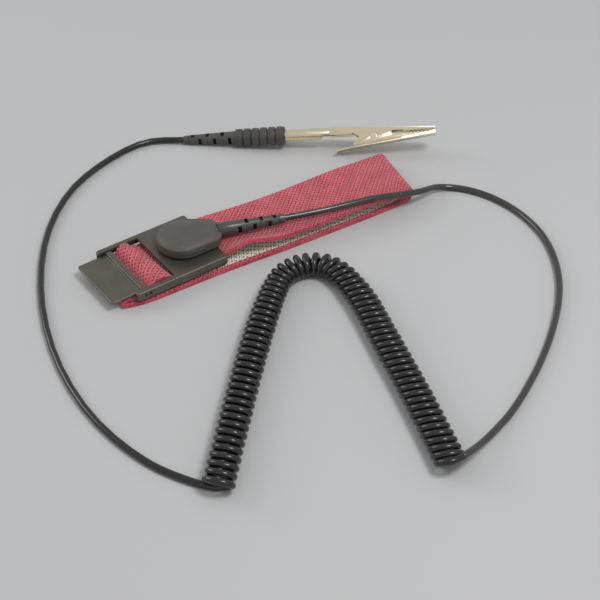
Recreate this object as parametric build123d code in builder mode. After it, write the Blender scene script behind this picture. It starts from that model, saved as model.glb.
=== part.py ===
from build123d import *
import math
import os

# ESD wrist strap: an elastic band with a lever buckle, a snap head that turns on its stud,
# and a curly grounding cord that ends in a plug carrying a spring clip.
# Millimetres. +X runs along the strap from the lever to the far fold, +Y across it, +Z up.
# The origin is on the surface the strap lies on, under the buckle plate.

# --- driving dimensions -------------------------------------------------------------------
BAND_WIDTH = 20.6
BAND_THICK = 1.2
LOOP_END_X = 77.6          # outside of the far fold, along the loop
LOOP_SKEW = -4.2           # the loop leaves the buckle at this heading, degrees
LOOP_PIVOT = (-12.0, -1.5)  # the point that the loop's heading turns about

PLATE_LEFT = -21.7
PLATE_RIGHT = 9.6
PLATE_WIDTH = 25.0
PLATE_TOP = 4.8
CORNER_R = 0.7             # corners of the plate and of the lever's flap, seen from above
SHEET = 0.8                # steel sheet of the buckle
FLANGE_DEPTH = 2.6         # from the plate's top to the flange's lower edge
WINDOW_RIGHT = -8.2
ARM_WIDTH = 1.7

LEVER_X = -18.1            # hinge line of the lever
LEVER_Z = 3.5
LEVER_LENGTH = 11.0        # from the hinge line to the flap's outer edge
LEVER_SHEET = 0.7
LEVER_GAP = 0.5            # side clearance between the lever and the buckle's arms
PIN_R = 0.45
RUN_FIT = 0.05             # radial clearance of a part that turns on another

BAR_X = -12.8              # bar that the band wraps round inside the window
BAR_R = 0.9

STUD_X = 1.5
SHANK_R = 1.2              # rivet shank that holds stud, plate and electrode together
BALL_R = 2.0
SOCKET_R = 3.0

HEAD_TURN = -18.5          # heading of the snap head on its stud, degrees
HEAD_R = 8.0               # round end of the head
NOSE_X = 11.5              # nose of the head, from the stud
HEAD_BOTTOM = 5.3
HEAD_SPLIT = 7.0           # joint between the head's lower and upper shells
HEAD_RIM = 8.6
HEAD_TOP = 10.2
WALL = 0.9
BARREL_SLEEVE_R = 2.2      # root of the strain relief, where it leaves the head
RELIEF_Z = 7.8             # height of the cord's exit from the head
RELIEF_TIP = 32.0          # end of the head's strain relief, from the stud

CORD_R = 1.0
COIL_HALF_WIDTH = 4.4     # the coil's turns lean over, so it is wider than high
COIL_HALF_HEIGHT = 3.35
FLOOR_GAP = 0.05

PLUG_ORIGIN = (60.0, 30.0, 4.4)  # mouth of the plug's grip
PLUG_HEADING = -38.6
PLUG_TILT = 5.0
CLIP_ROLL = 45.0           # turn of the clip's cheeks about the plug's axis
GRIP_LENGTH = 16.6
GRIP_R = 3.2
PLUG_RELIEF_LENGTH = 17.4
BARREL_R = 1.95
CLIP_SHEET = 0.45
CLIP_LENGTH = 49.5
CHEEK_HALF = 2.45          # outer half width of the clip across its cheeks
JAW_CLEAR = 0.1
RIVET_AT = (29.3, -1.55)
RIVET_R = 0.6

# --- worked-out sizes ---------------------------------------------------------------------
plate_under = PLATE_TOP - SHEET
half_plate = PLATE_WIDTH / 2
half_window = half_plate - ARM_WIDTH
flange_bottom = PLATE_TOP - FLANGE_DEPTH
lever_half = half_window - LEVER_GAP
bar_z = plate_under - BAR_R - 0.05
half_band = BAND_THICK / 2
low_z = half_band                       # middle of the band's lowest layer
return_z = 3 * half_band + 0.2          # middle of the layer that comes back over it
hump_z = bar_z + BAR_R + 0.1 + half_band
end_z = plate_under - 0.15 - half_band  # middle of the band's fixed end, under the plate
contact_top = end_z - half_band - 0.15
contact_bottom = contact_top - 0.5

os.makedirs("parts", exist_ok=True)


def finish(builder, label):
    builder.part.label = label
    export_step(builder.part, f"parts/{label}.step")
    print(label, "volume", round(builder.part.volume, 2))


def heading_plane(point, heading, tilt=0.0, roll=0.0):
    """A plane whose X follows the heading, tilted up, with its normal rolled about that X."""
    h, t, r = (math.radians(v) for v in (heading, tilt, roll))
    along = Vector(math.cos(t) * math.cos(h), math.cos(t) * math.sin(h), math.sin(t))
    side = Vector(-math.sin(h), math.cos(h), 0)
    up = along.cross(side)
    normal = up * math.cos(r) - side * math.sin(r)
    return Plane(origin=point, x_dir=along, z_dir=normal)


def across(plane, distance):
    """The plane square to another's X direction, that far along it; its Y is the other's Z."""
    return Plane(origin=plane.from_local_coords((distance, 0, 0)),
                 x_dir=plane.y_dir, z_dir=plane.x_dir)


# --- band ---------------------------------------------------------------------------------
side_view = Plane.XZ
loop_view = heading_plane((*LOOP_PIVOT, 0), LOOP_SKEW, roll=90)


def band_run(plane, points, radii):
    """One stretch of band: its section swept along a side view made of runs and arcs."""
    with BuildLine(plane) as route:
        FilletPolyline(*points, radius=radii)
    start = route.line @ 0
    direction = route.line % 0
    with BuildSketch(Plane(origin=start, x_dir=plane.z_dir, z_dir=direction)) as section:
        Rectangle(BAND_WIDTH, BAND_THICK)
    sweep(section.sketch, path=route.line)


fold_r = (2 * return_z - 2 * low_z) / 4 - 0.01
turn_left = -24.8
fold_x = LOOP_END_X - LOOP_PIVOT[0] - half_band
loop_top_z = 4.9
under_head_z = HEAD_BOTTOM - 0.4 - half_band   # clear of the head as it turns on its stud
under_relief_z = RELIEF_Z - BARREL_SLEEVE_R - 0.3 - half_band
raised_z = RELIEF_Z - CORD_R - 0.3 - half_band  # the loop's open stretch, below the cord
far_r = (loop_top_z - low_z) / 2 - 0.01

with BuildPart() as wrist_band:
    band_run(side_view,
             [(-14, low_z), (turn_left, low_z), (turn_left, return_z), (-16.2, return_z),
              (BAR_X - 1.2, hump_z), (BAR_X + 1.2, hump_z), (-10.0, return_z), (-6.9, return_z)],
             [fold_r, fold_r, 1.2, 1.6, 1.6, 1.2])
    band_run(side_view,
             [(4.2, end_z), (PLATE_RIGHT + 1.0, end_z), (14.0, under_head_z),
              (17.5, under_head_z)], [2.5, 2.5])
    loop = [(27.0, under_head_z), (33.0, under_relief_z), (46.0, under_relief_z),
            (53.0, raised_z), (62.5, raised_z), (72.0, loop_top_z),
            (fold_x, loop_top_z), (fold_x, low_z), (-8.0, low_z)]
    band_run(loop_view, loop, [12, 12, 12, 12, 12, far_r, far_r])
finish(wrist_band, "wrist_band")

# --- buckle -------------------------------------------------------------------------------
plate_mid = (PLATE_LEFT + PLATE_RIGHT) / 2
plate_length = PLATE_RIGHT - PLATE_LEFT

with BuildPart() as buckle_frame:
    with BuildSketch(Plane.XY.offset(flange_bottom)):
        with Locations((plate_mid, 0)):
            RectangleRounded(plate_length, PLATE_WIDTH, CORNER_R)
    extrude(amount=FLANGE_DEPTH)
    fillet(buckle_frame.faces().sort_by(Axis.Z)[-1].edges(), 0.35)
    with BuildSketch(Plane.XY.offset(flange_bottom)):
        with Locations((plate_mid, 0)):
            Rectangle(plate_length + 2, PLATE_WIDTH - 2 * SHEET)
    extrude(amount=FLANGE_DEPTH - SHEET, mode=Mode.SUBTRACT)
    window_left = PLATE_LEFT - 1
    with BuildSketch(Plane.XY.offset(plate_under)):
        with Locations(((window_left + WINDOW_RIGHT) / 2, 0)):
            Rectangle(WINDOW_RIGHT - window_left, 2 * half_window)
    extrude(amount=SHEET, mode=Mode.SUBTRACT)
    with BuildSketch(Plane.XZ.offset(-half_plate)):
        with Locations((LEVER_X, LEVER_Z)):
            SlotOverall(2.4, 2 * (PIN_R + RUN_FIT))
    extrude(amount=PLATE_WIDTH, mode=Mode.SUBTRACT)
    with Locations((STUD_X, 0, PLATE_TOP)):
        Hole(SHANK_R, depth=SHEET)
finish(buckle_frame, "buckle_frame")

with BuildPart() as cross_bar:
    with BuildSketch(Plane.XZ.offset(-(half_plate - SHEET))):
        with Locations((BAR_X, bar_z)):
            Circle(BAR_R)
    extrude(amount=PLATE_WIDTH - 2 * SHEET)
finish(cross_bar, "cross_bar")

# --- lever --------------------------------------------------------------------------------
flap_top = LEVER_Z + 0.3
flap_bottom = flap_top - LEVER_SHEET
cam_left, cam_right = LEVER_X - 1.5, LEVER_X + 0.5
cam_top, cam_bottom = LEVER_Z + 1.05, LEVER_Z - 0.7

with BuildPart() as clasp_lever:
    with BuildSketch(Plane.XY.offset(flap_bottom)):
        flap_end = LEVER_X - LEVER_LENGTH
        with Locations(((flap_end + cam_left + 0.5) / 2, 0)):
            Rectangle(cam_left + 0.5 - flap_end, 2 * lever_half)
    extrude(amount=LEVER_SHEET)
    fillet(clasp_lever.edges().filter_by(Axis.Z).group_by(Axis.X)[0], CORNER_R)
    with BuildSketch(Plane.XZ.offset(-lever_half)):
        with BuildLine():
            Polyline((cam_left, cam_bottom + 0.3), (cam_left + 0.5, cam_bottom),
                     (cam_right - 0.2, cam_bottom), (cam_right, LEVER_Z), (cam_right, cam_top),
                     (cam_left + 0.2, cam_top), (cam_left, flap_top + 0.1), close=True)
        make_face()
    extrude(amount=2 * lever_half)
    with BuildSketch(Plane.XZ.offset(-lever_half)):
        with Locations((LEVER_X, LEVER_Z)):
            Circle(PIN_R)
    extrude(amount=2 * lever_half, mode=Mode.SUBTRACT)
finish(clasp_lever, "clasp_lever")

with BuildPart() as lever_pin:
    with BuildSketch(Plane.XZ.offset(-(half_plate - 0.15))):
        with Locations((LEVER_X, LEVER_Z)):
            Circle(PIN_R)
    extrude(amount=PLATE_WIDTH - 0.3)
finish(lever_pin, "lever_pin")

# --- stud and electrode -------------------------------------------------------------------
rivet_head_r = 2.3
with BuildPart() as contact_plate:
    with BuildSketch(Plane.XY.offset(contact_bottom)):
        with Locations(((-6.2 + 9.2) / 2, 0)):
            RectangleRounded(15.4, 19.0, 1.5)
        with Locations((STUD_X, 0)):
            Circle(SHANK_R, mode=Mode.SUBTRACT)
    extrude(amount=contact_top - contact_bottom)
finish(contact_plate, "contact_plate")

with BuildPart() as stud_spacer:
    with BuildSketch(Plane.XY.offset(contact_top)):
        with Locations((STUD_X, 0)):
            Circle(rivet_head_r)
            Circle(SHANK_R, mode=Mode.SUBTRACT)
    extrude(amount=plate_under - contact_top)
finish(stud_spacer, "stud_spacer")

stud_axis = Axis((STUD_X, 0, 0), (0, 0, 1))
rivet_back = contact_bottom - 0.4

with BuildPart() as stud_rivet:
    with BuildSketch(Plane.XY.offset(rivet_back)):
        with Locations((STUD_X, 0)):
            Circle(rivet_head_r)
    extrude(amount=0.4)
    fillet(stud_rivet.edges().sort_by(Axis.Z)[0], 0.25)
    with BuildSketch(Plane.XY.offset(contact_bottom)):
        with Locations((STUD_X, 0)):
            Circle(SHANK_R)
    extrude(amount=PLATE_TOP - contact_bottom)
finish(stud_rivet, "stud_rivet")

ball_z = 6.7
with BuildPart() as snap_stud:
    with BuildSketch(Plane.XZ):
        with BuildLine():
            low = (STUD_X + 3.4, PLATE_TOP)
            shoulder = (STUD_X + 1.55, PLATE_TOP + 0.4)
            neck = (STUD_X + 1.55, 5.75)
            waist = (STUD_X + BALL_R, ball_z - 0.25)
            crown = (STUD_X + BALL_R - 1.2, ball_z + 0.75)
            Polyline((STUD_X, PLATE_TOP), low, (low[0], PLATE_TOP + 0.4), shoulder, neck, waist,
                     (STUD_X + BALL_R, ball_z + 0.15))
            TangentArc((STUD_X + BALL_R, ball_z + 0.15), crown, tangent=(0, 1))
            Polyline(crown, (STUD_X, crown[1]), (STUD_X, PLATE_TOP))
        make_face()
    revolve(axis=stud_axis)
finish(snap_stud, "snap_stud")

# --- snap head ----------------------------------------------------------------------------
head_view = heading_plane((STUD_X, 0, 0), HEAD_TURN)
nose_r = 3.4
nose_side = 2.2


def head_outline(height, scale=1.0, inset=0.0):
    """The head's plan: a round end drawn in to a blunt nose."""
    with BuildSketch(head_view.offset(height)) as plan:
        Circle(HEAD_R * scale - inset)
        for side in (-1, 1):
            with Locations(((NOSE_X - nose_r) * scale, side * nose_side * scale)):
                Circle(nose_r * scale - inset)
        make_hull()
    return plan.sketch


def relief_hole(radius, start, length):
    """A round way out of the head, along the cord."""
    with BuildSketch(across(head_view.offset(RELIEF_Z), start)) as hole:
        Circle(radius)
    extrude(hole.sketch, amount=length, mode=Mode.SUBTRACT)


barrel_r = BARREL_SLEEVE_R
neck_r = 1.2
barrel_start = NOSE_X - 0.6
floor_top = HEAD_BOTTOM + 0.8

with BuildPart() as head_base:
    extrude(head_outline(HEAD_BOTTOM, inset=0.25), amount=HEAD_SPLIT - HEAD_BOTTOM)
    chamfer(head_base.faces().sort_by(Axis.Z)[0].edges(), 0.3)
    extrude(head_outline(floor_top, inset=0.25 + WALL), amount=HEAD_SPLIT - floor_top,
            mode=Mode.SUBTRACT)
    with Locations((STUD_X, 0, floor_top)):
        Hole(SOCKET_R + RUN_FIT, depth=floor_top - HEAD_BOTTOM)
    relief_hole(neck_r, barrel_start - 3, 3)
    relief_hole(barrel_r, barrel_start, 3)
finish(head_base, "head_base")

cover_bottom = HEAD_SPLIT + 0.05
with BuildPart() as head_cover:
    extrude(head_outline(cover_bottom), amount=HEAD_RIM - cover_bottom)
    loft([head_outline(HEAD_RIM), head_outline(HEAD_RIM + 1.15, 0.8),
          head_outline(HEAD_TOP, 0.45)])
    extrude(head_outline(cover_bottom, inset=WALL), amount=HEAD_RIM - cover_bottom,
            mode=Mode.SUBTRACT)
    relief_hole(neck_r, barrel_start - 3, 3)
    relief_hole(barrel_r, barrel_start, 3)
finish(head_cover, "head_cover")

socket_bottom = HEAD_BOTTOM + 0.1
with BuildPart() as snap_socket:
    with BuildSketch(Plane.XY.offset(socket_bottom)):
        with Locations((STUD_X, 0)):
            Circle(SOCKET_R)
    extrude(amount=2.6)
    with BuildSketch(Plane.XY.offset(floor_top + RUN_FIT)):
        with Locations((STUD_X, 0)):
            Circle(SOCKET_R + 1.0)
    extrude(amount=0.3)
    with BuildSketch(Plane.XY.offset(socket_bottom)):
        with Locations((STUD_X, 0)):
            Circle(BALL_R + 0.25)
    extrude(amount=2.3, mode=Mode.SUBTRACT)
finish(snap_socket, "snap_socket")

ring_wire = 0.22
with BuildPart() as snap_spring:
    with BuildSketch(Plane.XZ):
        with Locations((STUD_X + 1.6 + ring_wire, socket_bottom + ring_wire + 0.05)):
            Circle(ring_wire)
    revolve(axis=stud_axis)
finish(snap_spring, "snap_spring")


def slotted_relief(plane, start, end, radius_in, radius_out, slots, slot_width, core):
    """A tapered sleeve on the cord with half-round slots that alternate above and below."""
    with BuildSketch(plane) as side:
        with BuildLine():
            Polyline((start, 0), (start, radius_in), (end, radius_out), (end, 0), close=True)
        make_face()
    revolve(side.sketch, axis=Axis(plane.from_local_coords((0, 0, 0)), plane.x_dir))
    step = (end - start) / (slots + 1)
    for i in range(slots):
        at = start + step * (i + 1) - slot_width / 2
        up = 1 if i % 2 else -1
        with BuildSketch(across(plane, at)) as slot:
            Circle(radius_in + 0.5)
            Circle(core, mode=Mode.SUBTRACT)
            with Locations((0, -up * radius_in)):
                Rectangle(4 * radius_in, 2 * radius_in - 0.3, mode=Mode.SUBTRACT)
        extrude(slot.sketch, amount=slot_width, mode=Mode.SUBTRACT)


collar_start = RELIEF_TIP - 2.0
relief_view = heading_plane((STUD_X, 0, RELIEF_Z), HEAD_TURN)
with BuildPart() as head_relief:
    slotted_relief(relief_view, 16.0, collar_start, 2.05, 1.4, 6, 1.1, 1.15)
    for start, end, radius in ((barrel_start - 2.0, barrel_start, neck_r),
                               (barrel_start, 16.0, barrel_r),
                               (collar_start, RELIEF_TIP, 1.3)):
        with BuildSketch(across(relief_view, start)):
            Circle(radius)
        extrude(amount=end - start)
    fillet(head_relief.edges().filter_by(GeomType.CIRCLE).filter_by(
        lambda e: abs(e.radius - 1.3) < 0.01 and abs(
            relief_view.to_local_coords(e.arc_center).X - RELIEF_TIP) < 0.01), 0.25)
finish(head_relief, "head_relief")

resistor_at = 4.9
resistor_length = 3.2
resistor_z = 7.35
with BuildPart() as resistor:
    with BuildSketch(across(head_view.offset(resistor_z), resistor_at)):
        Circle(0.9)
    extrude(amount=resistor_length)
    fillet(resistor.edges(), 0.3)
    with BuildSketch(across(head_view.offset(resistor_z), resistor_at - 0.6)):
        Circle(0.25)
    extrude(amount=resistor_length + 0.8)
finish(resistor, "resistor")

with BuildPart() as contact_finger:
    with BuildSketch(head_view.offset(floor_top + 0.45)):
        with Locations((SOCKET_R + 0.95, 0)):
            Rectangle(1.5, 2.4)
    extrude(amount=0.25)
    with BuildSketch(head_view.offset(floor_top + 0.7)):
        with Locations((SOCKET_R + 1.15, 0)):
            Rectangle(0.3, 2.0)
    extrude(amount=0.75)
finish(contact_finger, "contact_finger")

# --- cords --------------------------------------------------------------------------------
cord_z = CORD_R + FLOOR_GAP
head_tip = relief_view.from_local_coords((RELIEF_TIP + 0.3, 0, 0))
plug_view = heading_plane(PLUG_ORIGIN, PLUG_HEADING, PLUG_TILT, CLIP_ROLL)
plug_tip = plug_view.from_local_coords((-GRIP_LENGTH - PLUG_RELIEF_LENGTH, 0, 0))

SNAP_LEAD = [tuple(head_tip), (41.8, -13.45, 7.8), (52.2, -15.9, 7.7), (61.5, -17.7, 7.45),
             (68.5, -19.365, 6.34)]
HEAD_LEAD = [(68.5, -19.365, 6.34), (75.5, -21.03, 5.23), (86.8, -17.4, cord_z),
             (95.6, -27.4, cord_z), (99.0, -43.0, cord_z), (96.2, -59.6, cord_z),
             (84.6, -77.9, cord_z), (63.6, -94.9, cord_z), (40.7, -107.5, cord_z),
             (27.5, -112.2, 1.9), (18.5, -115.2, 3.9), (13.2, -116.3, 5.2)]
COIL = [(10.9, -114.8), (19.1, -90.9), (26.1, -67.3), (32.3, -48.0), (33.6, -30.6),
        (21.2, -25.6), (8.3, -35.4), (-14.2, -57.1), (-42.6, -87.0)]
PLUG_LEAD = [(-42.9, -84.8, cord_z), (-47.9, -77.2, cord_z), (-52.8, -66.5, cord_z),
             (-56.2, -45.5, cord_z), (-53.2, -19.5, cord_z), (-44.0, 7.0, cord_z),
             (-29.5, 31.5, cord_z), (-12.0, 48.5, cord_z), (5.0, 56.0, cord_z),
             (23.0, 59.2, cord_z), tuple(plug_tip)]


def cord(label, points, half_width, half_height):
    """A tube along straight runs joined by the largest arcs that their corners allow."""
    corners = [Vector(*p) for p in points]
    radii = []
    for before, corner, after in zip(corners, corners[1:], corners[2:]):
        turn = math.radians((corner - before).get_angle(after - corner))
        shorter = min((corner - before).length, (after - corner).length)
        radii.append(0.45 * shorter / math.tan(turn / 2))
    print(label, "arc radii", [round(r, 1) for r in radii])
    with BuildPart() as tube:
        with BuildLine() as route:
            if radii:
                FilletPolyline(*corners, radius=radii)
            else:
                Polyline(*corners)
        start = route.line % 0
        across_route = Vector(0, 0, 1).cross(start).normalized()
        with BuildSketch(Plane(origin=route.line @ 0, x_dir=across_route, z_dir=start)):
            Ellipse(half_width, half_height)
        sweep(path=route.line)
    length = sum(edge.length for edge in route.line.edges())
    fill = tube.part.volume / (math.pi * half_width * half_height * length)
    print(label, "length", round(length, 1), "volume against section by length", round(fill, 4))
    finish(tube, label)


coil_z = COIL_HALF_HEIGHT + FLOOR_GAP
cord("snap_lead", SNAP_LEAD, CORD_R, CORD_R)
cord("head_lead", HEAD_LEAD, CORD_R, CORD_R)
cord("coil_cord", [(x, y, coil_z) for x, y in COIL], COIL_HALF_WIDTH, COIL_HALF_HEIGHT)
cord("plug_lead", PLUG_LEAD, CORD_R, CORD_R)

# --- plug ---------------------------------------------------------------------------------
plug_axis = Axis(plug_view.origin, plug_view.x_dir)
pin_r = 1.15
barrel_bore = BARREL_R - 0.4
mouth_depth = 4.2
pin_seat = 8.0             # length of the pin held in the grip

with BuildPart() as plug_grip:
    grooves, groove_width = 5, 0.6
    land = (GRIP_LENGTH - grooves * groove_width) / (grooves + 1)
    with BuildSketch(plug_view):
        with BuildLine():
            Polyline((0, 0), (0, GRIP_R - 0.3), (-0.4, GRIP_R), (-GRIP_LENGTH + 0.4, GRIP_R - 0.35),
                     (-GRIP_LENGTH, GRIP_R - 0.65), (-GRIP_LENGTH, 0), close=True)
        make_face()
        for i in range(grooves):
            groove_x = -(i + 1) * land - (i + 0.5) * groove_width
            with Locations((groove_x, GRIP_R - 0.1)):
                Rectangle(groove_width, 0.9, mode=Mode.SUBTRACT)
    revolve(axis=plug_axis)
    with BuildSketch(across(plug_view, 0)):
        Circle(BARREL_R + 0.15)
    extrude(amount=-mouth_depth, mode=Mode.SUBTRACT)
    with BuildSketch(across(plug_view, -mouth_depth)):
        Circle(pin_r)
    extrude(amount=-pin_seat, mode=Mode.SUBTRACT)
finish(plug_grip, "plug_grip")

with BuildPart() as plug_relief:
    back_view = Plane(origin=plug_view.from_local_coords((-GRIP_LENGTH, 0, 0)),
                      x_dir=-plug_view.x_dir, z_dir=plug_view.z_dir)
    collar = 1.6
    slotted_relief(back_view, 0, PLUG_RELIEF_LENGTH - collar, 2.2, 1.3, 6, 1.0, 1.15)
    with BuildSketch(across(back_view, PLUG_RELIEF_LENGTH - collar)):
        Circle(1.2)
    extrude(amount=collar)
finish(plug_relief, "plug_relief")

pin_end = 13.0
with BuildPart() as plug_pin:
    with BuildSketch(across(plug_view, -mouth_depth - pin_seat)):
        Circle(pin_r)
    extrude(amount=pin_end + mouth_depth + pin_seat)
    fillet(plug_pin.edges().filter_by(GeomType.CIRCLE).sort_by(
        lambda e: plug_view.to_local_coords(e.arc_center).X)[-1], 0.7)
finish(plug_pin, "plug_pin")

with BuildPart() as pin_spring:
    with BuildSketch(plug_view):
        with BuildLine():
            outer = ThreePointArc((0.5, pin_r + 0.15), (5.5, barrel_bore - 0.05), (10.5, pin_r + 0.15))
            Line(outer @ 1, (10.5, pin_r))
            ThreePointArc((10.5, pin_r), (5.5, barrel_bore - 0.22), (0.5, pin_r))
            Line((0.5, pin_r), outer @ 0)
        make_face()
    revolve(axis=plug_axis)
    with BuildSketch(across(plug_view, 2.0)):
        Rectangle(0.5, 2 * BARREL_R)
        Rectangle(2 * BARREL_R, 0.5)
    extrude(amount=7.0, mode=Mode.SUBTRACT)
finish(pin_spring, "pin_spring")

# --- clip ---------------------------------------------------------------------------------
top_back, top_tip = (15.0, 1.85), (CLIP_LENGTH, 0.65)
cheek_inner = CHEEK_HALF - CLIP_SHEET
jaw_half = cheek_inner - JAW_CLEAR
teeth_start = (39.8, -0.65)
teeth_end = (CLIP_LENGTH, -0.05)
tooth_count = 8


def teeth(points_from, points_to, depth):
    """A saw edge between two points, with its tips out by the depth."""
    steps = []
    for i in range(tooth_count + 1):
        t = i / tooth_count
        steps.append((points_from[0] + (points_to[0] - points_from[0]) * t,
                      points_from[1] + (points_to[1] - points_from[1]) * t))
        if i < tooth_count:
            t += 0.5 / tooth_count
            steps.append((points_from[0] + (points_to[0] - points_from[0]) * t,
                          points_from[1] + (points_to[1] - points_from[1]) * t + depth))
    return steps


upper_side = ([top_back, top_tip] + teeth(teeth_end, teeth_start, 0.45)
              + [(38.6, -2.4), (23.2, -4.5), (22.6, -4.0), (24.7, -1.75), (22.6, -0.3),
                 (22.2, -0.8), (15.0, -0.8)])

with BuildPart() as clip_frame:
    with BuildSketch(plug_view.offset(-CHEEK_HALF)):
        with BuildLine():
            Polyline(*upper_side, close=True)
        make_face()
    extrude(amount=2 * CHEEK_HALF)
    with BuildSketch(plug_view.offset(-cheek_inner)):
        with BuildLine():
            Polyline((14.0, 1.85 - CLIP_SHEET), (CLIP_LENGTH + 1, 0.62 - CLIP_SHEET),
                     (CLIP_LENGTH + 1, -8), (14.0, -8), close=True)
        make_face()
    extrude(amount=2 * cheek_inner, mode=Mode.SUBTRACT)
    with BuildSketch(across(plug_view, -mouth_depth + 0.2)):
        Circle(BARREL_R)
        Circle(barrel_bore, mode=Mode.SUBTRACT)
    extrude(amount=12.0 + mouth_depth - 0.2)
    with BuildSketch(across(plug_view, 11.9)):
        Circle(BARREL_R)
        Circle(barrel_bore, mode=Mode.SUBTRACT)
        with Locations((-1.45, 0)):
            Rectangle(2.0, 5.0, mode=Mode.SUBTRACT)
    extrude(amount=4.3)
    with BuildSketch(plug_view.offset(-CHEEK_HALF)):
        with Locations(RIVET_AT):
            Circle(RIVET_R)
        with Locations((37.3, -0.75)):
            SlotOverall(4.4, 1.5)
    extrude(amount=2 * CHEEK_HALF, mode=Mode.SUBTRACT)
finish(clip_frame, "clip_frame")

lower_back, lower_tip = (23.0, -5.1), (CLIP_LENGTH, -1.5)
jaw_side = ([lower_back, lower_tip, (CLIP_LENGTH, -0.55)]
            + [(x, y - 0.5) for x, y in teeth(teeth_end, teeth_start, 0.45)][1:]
            + [(33.5, -0.6), (30.8, 0.1), (28.2, 0.1), (26.6, -1.6), (24.6, -3.6)])

with BuildPart() as clip_jaw:
    with BuildSketch(plug_view.offset(-jaw_half)):
        with BuildLine():
            Polyline(*jaw_side, close=True)
        make_face()
    extrude(amount=2 * jaw_half)
    with BuildSketch(plug_view.offset(-(jaw_half - CLIP_SHEET))):
        with BuildLine():
            Polyline((20, -5.1 + CLIP_SHEET), (23.0, -5.1 + CLIP_SHEET),
                     (CLIP_LENGTH + 1, -1.37 + CLIP_SHEET), (CLIP_LENGTH + 1, 4), (20, 4), close=True)
        make_face()
    extrude(amount=2 * (jaw_half - CLIP_SHEET), mode=Mode.SUBTRACT)
    with BuildSketch(plug_view.offset(-jaw_half)):
        with BuildLine():
            Polyline((24.5, -4.9), (23.0, -5.1), (17.2, -6.2), (17.1, -5.75),
                     (23.0, -5.1 + CLIP_SHEET), (24.5, -4.9 + CLIP_SHEET), close=True)
        make_face()
    extrude(amount=2 * jaw_half)
    with BuildSketch(plug_view.offset(-CHEEK_HALF)):
        with Locations(RIVET_AT):
            Circle(RIVET_R + RUN_FIT)
    extrude(amount=2 * CHEEK_HALF, mode=Mode.SUBTRACT)
finish(clip_jaw, "clip_jaw")

with BuildPart() as clip_rivet:
    for low, high, radius in ((-CHEEK_HALF - 0.3, -CHEEK_HALF, 1.0),
                              (-CHEEK_HALF, CHEEK_HALF, RIVET_R),
                              (CHEEK_HALF, CHEEK_HALF + 0.3, 1.0)):
        with BuildSketch(plug_view.offset(low)):
            with Locations(RIVET_AT):
                Circle(radius)
        extrude(amount=high - low)
finish(clip_rivet, "clip_rivet")

spring_wire = 0.22
spring_r = 1.15
leg_length = 4.0
with BuildPart() as clip_spring:
    rivet_axis = Axis(plug_view.from_local_coords((*RIVET_AT, 0)), plug_view.z_dir)
    section_view = Plane(origin=plug_view.from_local_coords((*RIVET_AT, 0)),
                         x_dir=plug_view.x_dir, z_dir=-plug_view.y_dir)
    for offset in (-0.42, 0.0, 0.42):
        with BuildSketch(section_view):
            with Locations((spring_r, offset)):
                Circle(spring_wire)
        revolve(axis=rivet_axis)
    for offset in (-0.42, 0.42):
        with BuildSketch(plug_view.offset(offset)):
            with Locations((RIVET_AT[0] + spring_r + leg_length / 2, RIVET_AT[1])):
                Rectangle(leg_length, 2 * spring_wire)
        extrude(amount=spring_wire, both=True)
finish(clip_spring, "clip_spring")
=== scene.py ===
import math

import bmesh
import bpy
import numpy as np
from mathutils import Matrix, Vector


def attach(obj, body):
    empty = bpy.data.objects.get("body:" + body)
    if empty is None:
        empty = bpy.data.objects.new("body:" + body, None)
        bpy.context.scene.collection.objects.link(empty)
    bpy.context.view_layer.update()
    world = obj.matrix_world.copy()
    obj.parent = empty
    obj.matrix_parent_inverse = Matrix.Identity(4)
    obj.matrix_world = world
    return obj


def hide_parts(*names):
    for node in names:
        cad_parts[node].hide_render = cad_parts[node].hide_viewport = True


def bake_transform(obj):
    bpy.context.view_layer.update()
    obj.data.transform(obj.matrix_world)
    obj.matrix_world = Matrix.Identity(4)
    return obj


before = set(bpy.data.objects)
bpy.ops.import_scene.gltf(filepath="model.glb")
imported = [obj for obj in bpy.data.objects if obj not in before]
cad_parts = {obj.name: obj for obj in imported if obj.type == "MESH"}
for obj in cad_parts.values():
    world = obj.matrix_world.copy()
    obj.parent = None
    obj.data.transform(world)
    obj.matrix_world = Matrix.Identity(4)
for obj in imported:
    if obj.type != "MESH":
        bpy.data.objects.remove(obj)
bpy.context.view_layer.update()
scene = bpy.context.scene
MM = 0.001

# --- camera, floor and light ---------------------------------------------------------------
CAMERA_DISTANCE = 0.44
CAMERA_LENS = 90
CAMERA_SENSOR = 36
target = Vector((0.0186, -0.0368, 0.0))
elevation = math.radians(40.6)
heading = Vector((0.579, 0.815, 0.0)).normalized()
sight = heading * math.cos(elevation) - Vector((0, 0, math.sin(elevation)))
camera_data = bpy.data.cameras.new("camera")
camera_data.lens = CAMERA_LENS
camera_data.sensor_width = CAMERA_SENSOR
camera_data.clip_start = 0.01
camera = bpy.data.objects.new("camera", camera_data)
camera.location = target - sight * CAMERA_DISTANCE
camera.rotation_euler = sight.to_track_quat("-Z", "Y").to_euler()
scene.collection.objects.link(camera)
scene.camera = camera
scene.view_settings.view_transform = "Standard"

world = bpy.data.worlds.new("studio")
world.use_nodes = True
sky = world.node_tree.nodes["Background"]
sky.inputs["Color"].default_value = (0.80, 0.81, 0.83, 1)
sky.inputs["Strength"].default_value = 0.66
scene.world = world


def soft_light(name, place, aim, size, power):
    """A square soft box that faces a point."""
    data = bpy.data.lights.new(name, "AREA")
    data.size = size
    data.energy = power
    lamp = bpy.data.objects.new(name, data)
    lamp.location = place
    lamp.rotation_euler = (Vector(aim) - Vector(place)).to_track_quat("-Z", "Y").to_euler()
    scene.collection.objects.link(lamp)


LIT_POINT = (0.02, -0.03, 0)
soft_light("key_light", (0.136, -0.304, 0.60), LIT_POINT, 0.19, 1.9)
soft_light("back_light", (-0.30, 0.45, 0.30), LIT_POINT, 0.30, 0.9)


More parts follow.
